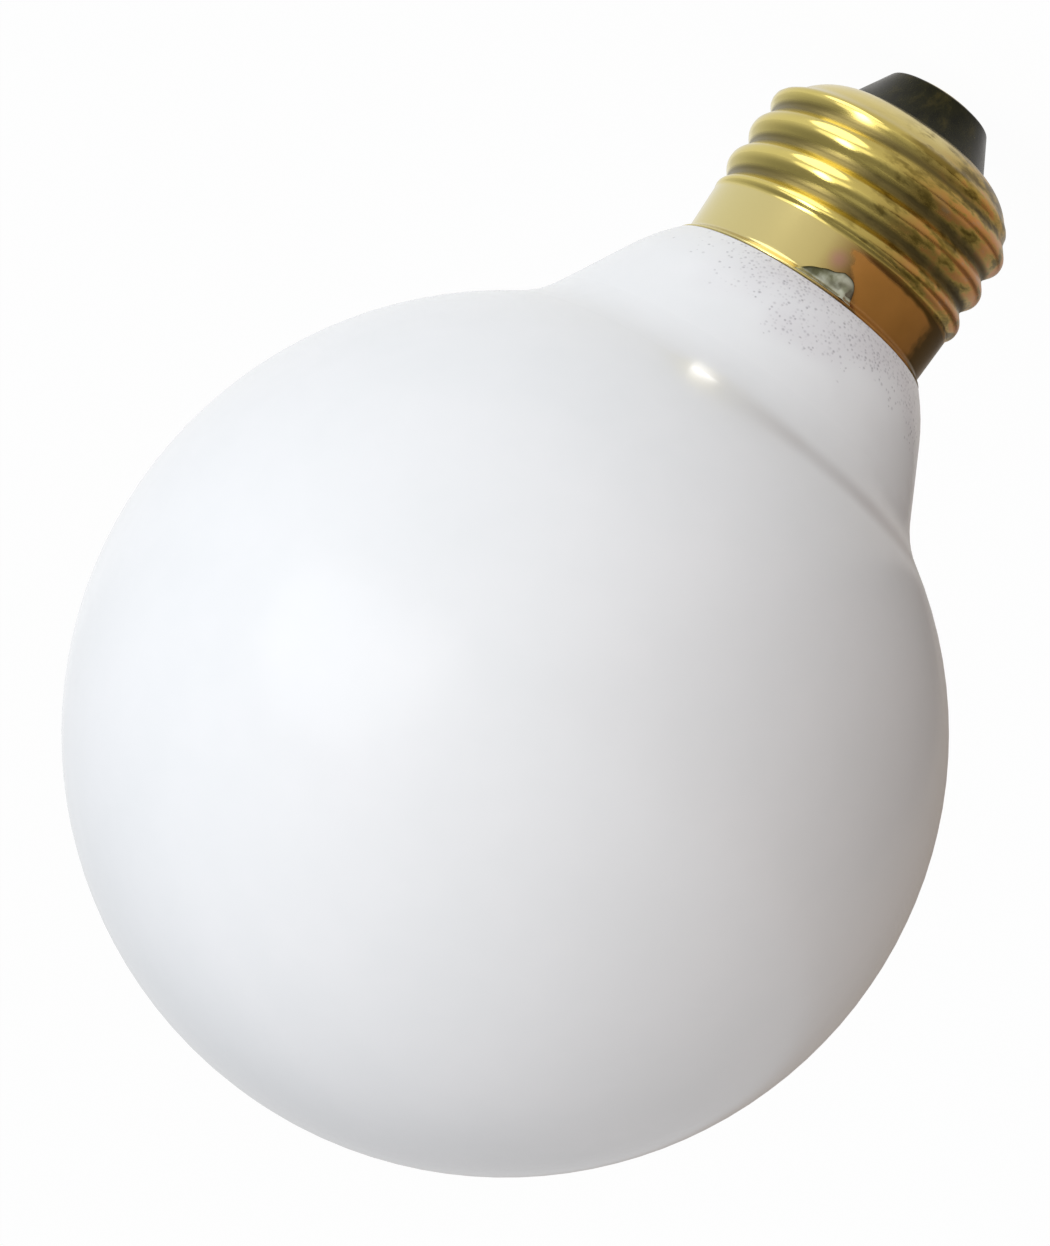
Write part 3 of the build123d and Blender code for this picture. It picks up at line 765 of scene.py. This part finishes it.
def rollThread(piece, spec):
    # each point is pushed out where the ridge passes it, less and less at both ends
    for vertex in piece.data.vertices:
        x, y, z = (c / mm for c in vertex.co)
        r = math.hypot(x, y)
        phase = (z - spec["crestHeight"]) / spec["pitch"] - math.atan2(y, x) / (2 * math.pi)
        wave = 1 - abs(math.sin(math.pi * phase)) ** spec["crestShape"]
        fade = smoothStep(*spec["fadeIn"], z) * (1 - smoothStep(*spec["fadeOut"], z))
        grown = (r + max(spec["threadDepth"] * wave * fade - skirtGrown(spec, z), 0)) / r
        vertex.co.x *= grown
        vertex.co.y *= grown
    piece.data.update()


def roundEnd(outer, inner, steps):
    # half a circle from the end of the outer line to the end of the inner one
    start, end = Vector(outer[-1]), Vector(inner[-1])
    middle, half = (start + end) / 2, (start - end) / 2
    ahead = (start - Vector(outer[-2])).normalized() * half.length
    turns = [math.pi * step / (steps + 1) for step in range(1, steps + 1)]
    return [tuple(middle + half * math.cos(turn) + ahead * math.sin(turn)) for turn in turns]


def makeShell(spec):
    outer = shellLine(spec)
    inner = insetLine(outer, spec["sheet"])
    closed = outer + roundEnd(outer, inner, spec["beadSteps"]) + inner[::-1] + outer[:1]
    piece = turnPiece("rolledShell", closed, spec["steps"])
    rollThread(piece, spec)
    place(piece, "screw_shell", "shell_brass", brassFinish)
    return piece


makeGleams(brassGleams, makeShell(shellSet))
print("screw shell ready")

# base insulator: a cone of black glass with a rounded tip edge, seated in the curl, in mm
insulatorSet = {
    "tipRadius": 5.15,
    "tipHeight": 0.8,
    "tipRound": 0.5,
    "roundSteps": 8,
    "halfAngle": 29,
    "seatRadius": 4.5,
    "seatDepth": 0.3,
    "holeRadius": 0.8,
    "topHeight": 8.8,
    "wellRadius": 6.5,
    "shoulder": 1.2,
    "mouthGap": 0.1,
    "clearance": 0.02,
    "steps": 160,
}


def makeInsulator(spec, shell):
    lean = math.radians(spec["halfAngle"])
    tip, low, bend = spec["tipRadius"], spec["tipHeight"], spec["tipRound"]
    mouth = shell["endHeight"]
    line = [(spec["holeRadius"], low + spec["seatDepth"]), (spec["seatRadius"], low + spec["seatDepth"]),
            (spec["seatRadius"], low)]
    reach = bend * math.tan((math.pi / 2 - lean) / 2)  # where the round of the edge starts
    for step in range(spec["roundSteps"] + 1):
        turn = (math.pi / 2 - lean) * step / spec["roundSteps"]
        line.append((tip - reach + bend * math.sin(turn), low + bend * (1 - math.cos(turn))))
    coneRadius = tip + (mouth - low) * math.tan(lean)
    line.append((coneRadius, mouth))
    inner = insetLine(shellLine(shell), shell["sheet"] + spec["clearance"])
    lowest = mouth + spec["mouthGap"]
    line += [(r, z) for r, z in inner if coneRadius < r and lowest < z < spec["topHeight"]]
    line += [(line[-1][0] - spec["shoulder"], spec["topHeight"]), (spec["wellRadius"], spec["topHeight"]),
             (spec["holeRadius"], mouth), line[0]]
    piece = turnPiece("insulatorCone", line, spec["steps"])
    place(piece, "base_insulator", "black_glass", blackFinish)


makeInsulator(insulatorSet, shellSet)
print("insulator ready")

# side solder: a leaf-shaped smear along the lip, thin at one end and thick at the other, with a drip,
# in mm and degrees
smearSet = {
    "angle": 267.5,
    "halfLength": 2.9,
    "lowEdge": 24.2,
    "tallest": 2.25,
    "fullAt": 0.35,  # share of the half length where the smear is tallest
    "tailShape": 0.55,
    "headShape": (3, 0.4),
    "backShape": 0.8,
    "thickness": 0.34,
    "thinnest": 0.25,  # share of the thickness at the ends
    "sink": 0.06,
    "waves": 0.10,
    "dripAlong": 1.9,
    "dripHeight": 23.8,
    "dripSize": (0.3, 0.5),
    "dripRise": 0.22,
    "segments": 64,
    "rings": 96,
}


def makeSmear(spec, shell):
    bpy.ops.object.select_all(action="DESELECT")
    bpy.ops.mesh.primitive_uv_sphere_add(segments=spec["segments"], ring_count=spec["rings"], radius=1)
    piece = bpy.context.object
    piece.name = "solderSmear"
    piece.data.name = "solderSmear"
    full, thin = spec["fullAt"], spec["thinnest"]
    for vertex in piece.data.vertices:
        out, side, along = vertex.co  # the poles become the two ends of the smear
        girth = max(math.hypot(out, side), 1e-6)
        out, side = out / girth, side / girth
        run = along * spec["halfLength"]
        if along < full:
            grown = ((along + 1) / (full + 1)) ** spec["tailShape"]
        else:
            bluntness, roundness = spec["headShape"]
            grown = max(1 - ((along - full) / (1 - full)) ** bluntness, 0) ** roundness
        wave = 1 + spec["waves"] * noise.noise(Vector((run * 0.9, 0.3, 2.0)))
        height = spec["tallest"] * max(grown, 0) * wave
        z = spec["lowEdge"] - height * (1 - side) / 2
        rise = -spec["sink"]
        if out > 0:
            lump = 1 + spec["waves"] * noise.noise(Vector((run * 1.1, z * 1.3, 5.0)))
            back = (thin + (1 - thin) * grown) * out ** spec["backShape"]
            rise = spec["thickness"] * back * lump - spec["sink"] * (1 - out)
            offRun = (run - spec["dripAlong"]) / spec["dripSize"][0]
            offZ = (z - spec["dripHeight"]) / spec["dripSize"][1]
            rise += spec["dripRise"] * math.exp(-offRun ** 2 - offZ ** 2) * smoothStep(0, 0.3, out)
        r = skirtLine(shell, z) + rise
        turn = math.radians(spec["angle"]) - run / shell["skirtRadius"]
        vertex.co = (r * math.cos(turn) * mm, r * math.sin(turn) * mm, z * mm)
    piece.data.update()
    bpy.ops.object.mode_set(mode="EDIT")
    bpy.ops.mesh.select_all(action="SELECT")
    bpy.ops.mesh.normals_make_consistent(inside=False)
    bpy.ops.object.mode_set(mode="OBJECT")
    bpy.ops.object.shade_smooth_by_angle(angle=math.radians(50))
    place(piece, "side_solder", "solder", smearFinish)


makeSmear(smearSet, shellSet)
print("side solder ready")

# centre contact: a stamped disc with a rolled edge, and a dome of solder on it, in mm
contactSet = {
    "radius": 4.48,
    "low": 0.6,
    "high": 1.1,
    "edge": 0.16,
    "hole": 0.7,
    "domeRadius": 2.9,
    "domeFlat": 1.5,
    "ragged": 0.06,
    "edgeSteps": 6,
    "domeSteps": 12,
    "steps": 120,
}


def makeContact(spec):
    edge, radius, low = spec["edge"], spec["radius"], spec["low"]
    disc = [(spec["hole"], low)]
    for step in range(spec["edgeSteps"] + 1):
        turn = math.pi / 2 * step / spec["edgeSteps"]
        disc.append((radius - edge + edge * math.sin(turn), low + edge * (1 - math.cos(turn))))
    disc += [(radius, spec["high"]), (spec["hole"], spec["high"]), disc[0]]
    piece = turnPiece("contactDisc", disc, spec["steps"])
    place(piece, "centre_contact", "contact_brass", discFinish)

    dome = [(0, 0), (spec["domeFlat"], 0)]
    for step in range(1, spec["domeSteps"] + 1):
        turn = math.pi / 2 * step / spec["domeSteps"]
        dome.append((spec["domeFlat"] + (spec["domeRadius"] - spec["domeFlat"]) * math.sin(turn),
                     low * (1 - math.cos(turn))))
    dome += [(spec["hole"], low), (spec["hole"], spec["high"]), (0, spec["high"])]
    piece = turnPiece("contactSolder", dome, spec["steps"])
    for vertex in piece.data.vertices:  # the edge of the dome ran unevenly
        x, y, z = (c / mm for c in vertex.co)
        share = smoothStep(spec["domeFlat"], spec["domeRadius"], math.hypot(x, y))
        grown = 1 + spec["ragged"] * share * noise.noise(Vector((x, y, 0)))
        vertex.co.x *= grown
        vertex.co.y *= grown
    piece.data.update()
    place(piece, "centre_solder", "solder", domeFinish)


makeContact(contactSet)
print("centre contact ready")

dress(nodes["glass_globe"], glassFinish)
makeGleams(glassGleams, nodes["glass_globe"])
dress(nodes["base_cement"], cementFinish)
dress(nodes["side_lead_wire"], copperFinish)
dress(nodes["centre_lead_wire"], copperFinish)
print("glass, cement and wires dressed")
